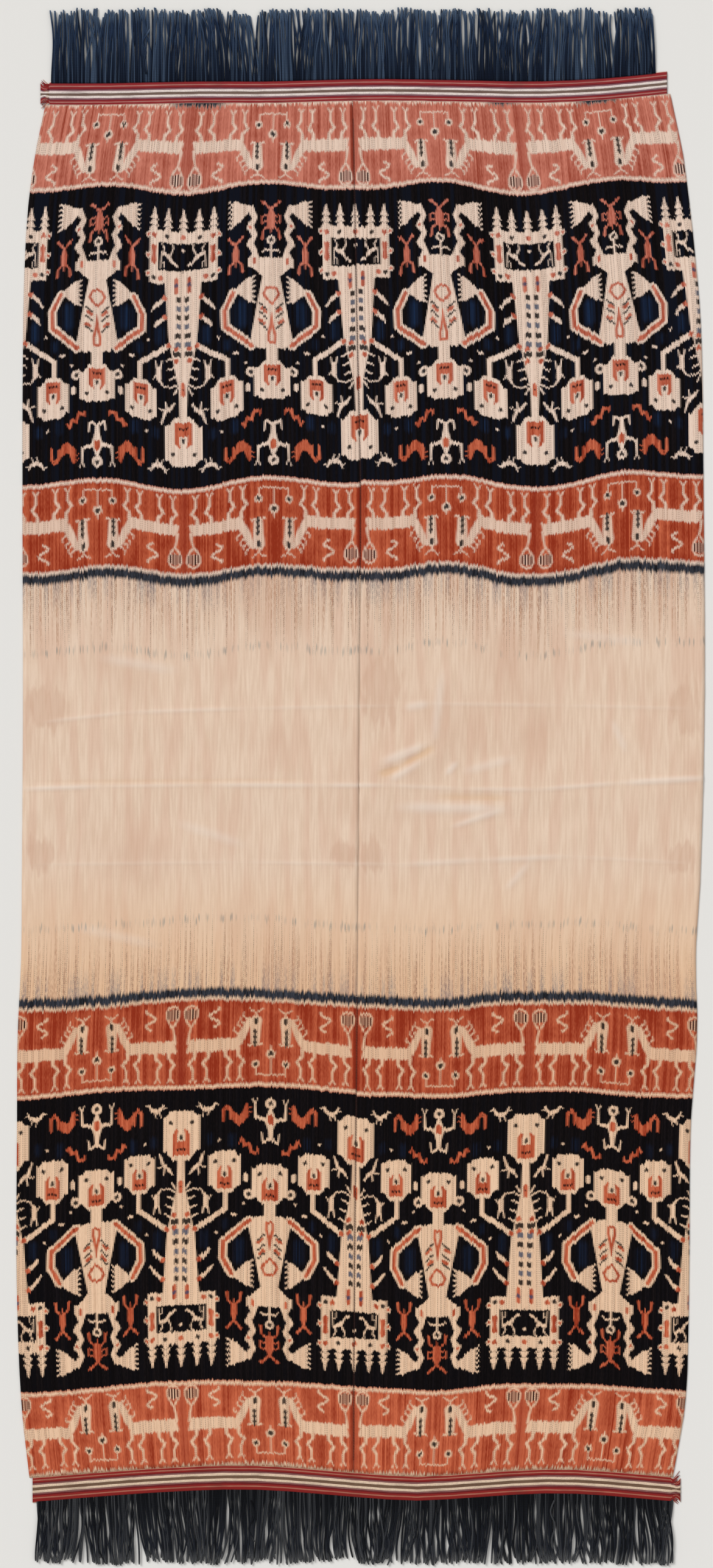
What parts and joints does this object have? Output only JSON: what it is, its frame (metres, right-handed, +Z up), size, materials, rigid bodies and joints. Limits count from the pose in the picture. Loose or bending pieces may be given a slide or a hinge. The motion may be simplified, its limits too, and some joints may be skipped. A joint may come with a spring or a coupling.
{
  "type": "fringed warp ikat mantle",
  "caption": "Long ikat cloth lying flat: joined patterned panels, a striped woven band across each end and a twisted fringe beyond it.",
  "frame": {"origin": "on the floor under the middle of the whole outline, fringes included", "axes": "+X across the cloth to the right, +Y along the warp to the upper fringe, +Z up out of the face"},
  "size_m": [1.1302, 2.56, 0.0056],
  "materials": {
    "ikat_cloth": "matte warp-faced cotton dyed in rust red and indigo on cream",
    "band_weave": "matte striped band weave in dark red, white and grey-brown",
    "fringe_cotton": "matte twisted indigo cotton"
  },
  "bodies": {
    "root": {"panel_left": "ikat_cloth", "panel_right": "ikat_cloth", "band_upper": "band_weave", "band_lower": "band_weave", "fringe_upper": "fringe_cotton", "fringe_lower": "fringe_cotton"}
  },
  "joints": []
}
